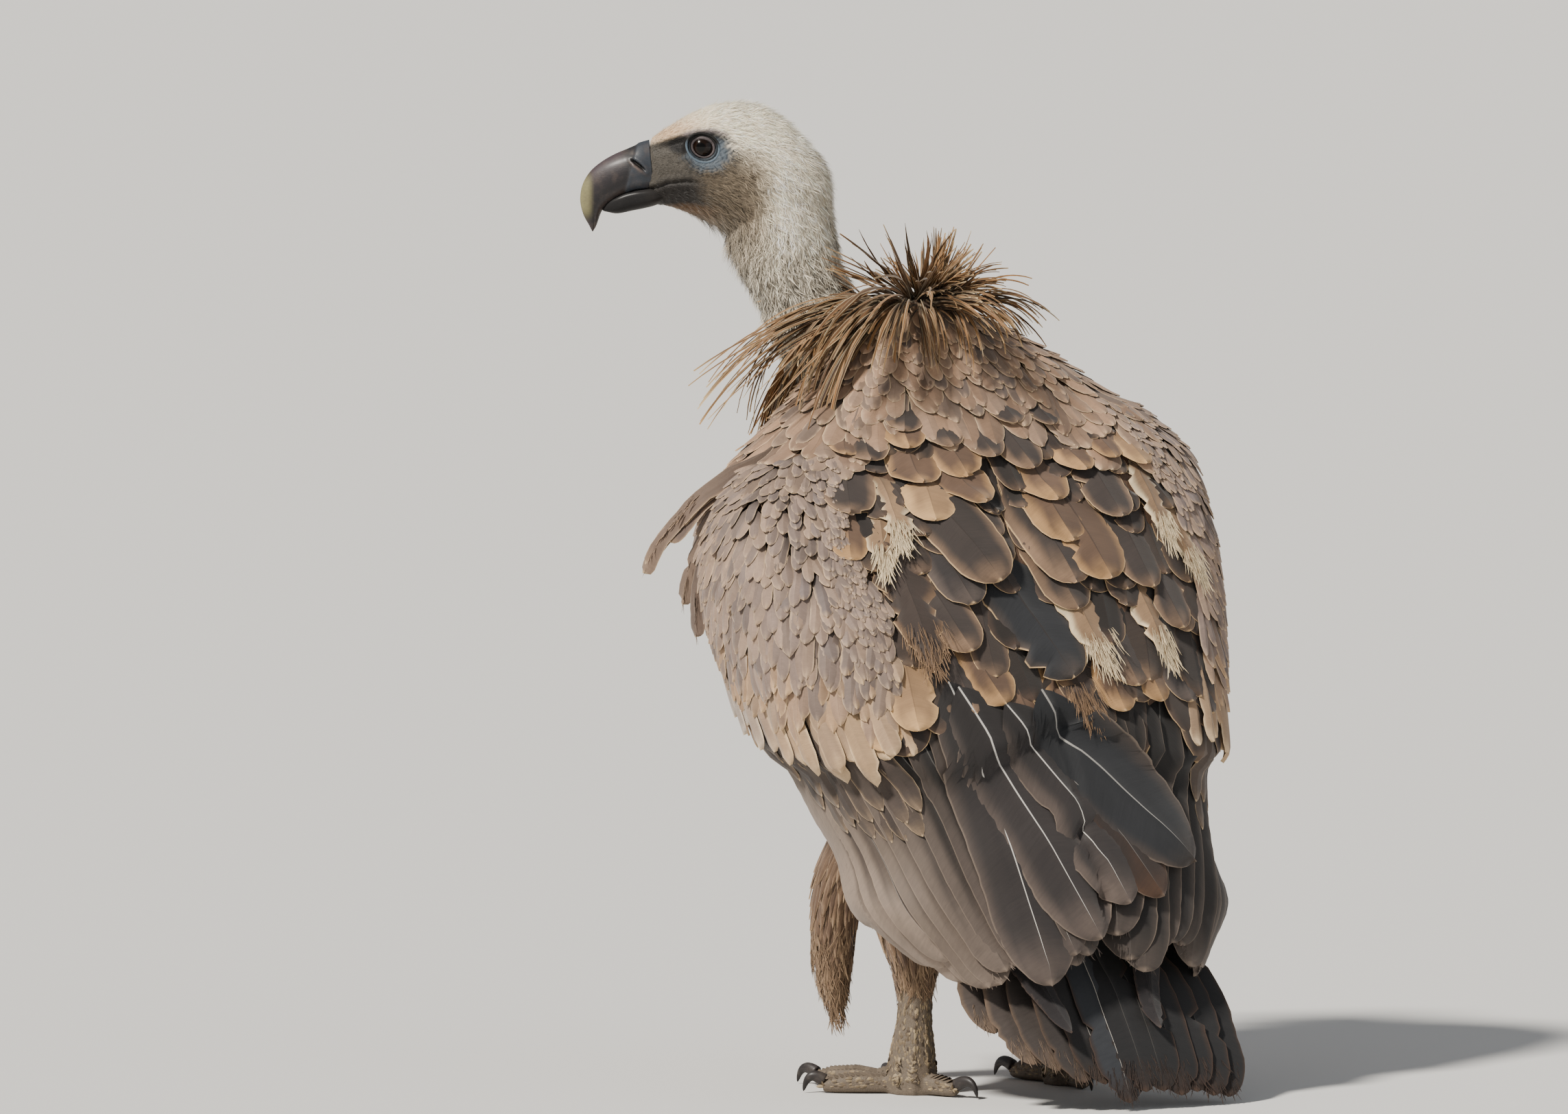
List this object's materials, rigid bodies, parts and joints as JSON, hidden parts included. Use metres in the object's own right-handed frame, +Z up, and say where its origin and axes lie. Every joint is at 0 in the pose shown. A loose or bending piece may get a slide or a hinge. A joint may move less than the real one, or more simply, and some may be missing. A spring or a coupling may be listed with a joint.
{
  "type": "griffon vulture",
  "caption": "Life-size griffon vulture standing upright with wings folded, tail resting on the ground and head turned to its left, seen from behind in its pose.",
  "frame": {"origin": "middle of the bounding box, on the floor under the bird", "axes": "+Z up, the bird faces -Y, its left side is +X"},
  "size_m": [0.4152, 0.465, 0.7359],
  "materials": {
    "down": "matt",
    "mantle": "matt",
    "coverts": "matt",
    "flight": "satin",
    "tail": "satin",
    "ruff": "matt",
    "thigh": "matt",
    "bill": "gloss",
    "eye": "gloss",
    "scale": "matt",
    "claw": "gloss"
  },
  "bodies": {
    "root": {"trunk": "mantle", "neck": "down", "ruff": "ruff", "head": "down", "upper_bill": "bill", "lower_bill": "bill", "left_eye": "eye", "left_coverts": "coverts", "left_scapulars": "mantle", "left_flight_feathers": "flight", "left_primaries": "flight", "left_thigh": "thigh", "left_foot": "scale", "left_middle_claw": "claw", "left_outer_claw": "claw", "left_inner_claw": "claw", "left_hind_claw": "claw", "right_eye": "eye", "right_coverts": "coverts", "right_scapulars": "mantle", "right_flight_feathers": "flight", "right_primaries": "flight", "right_thigh": "thigh", "right_foot": "scale", "right_middle_claw": "claw", "right_outer_claw": "claw", "right_inner_claw": "claw", "right_hind_claw": "claw", "tail": "tail"}
  },
  "joints": []
}
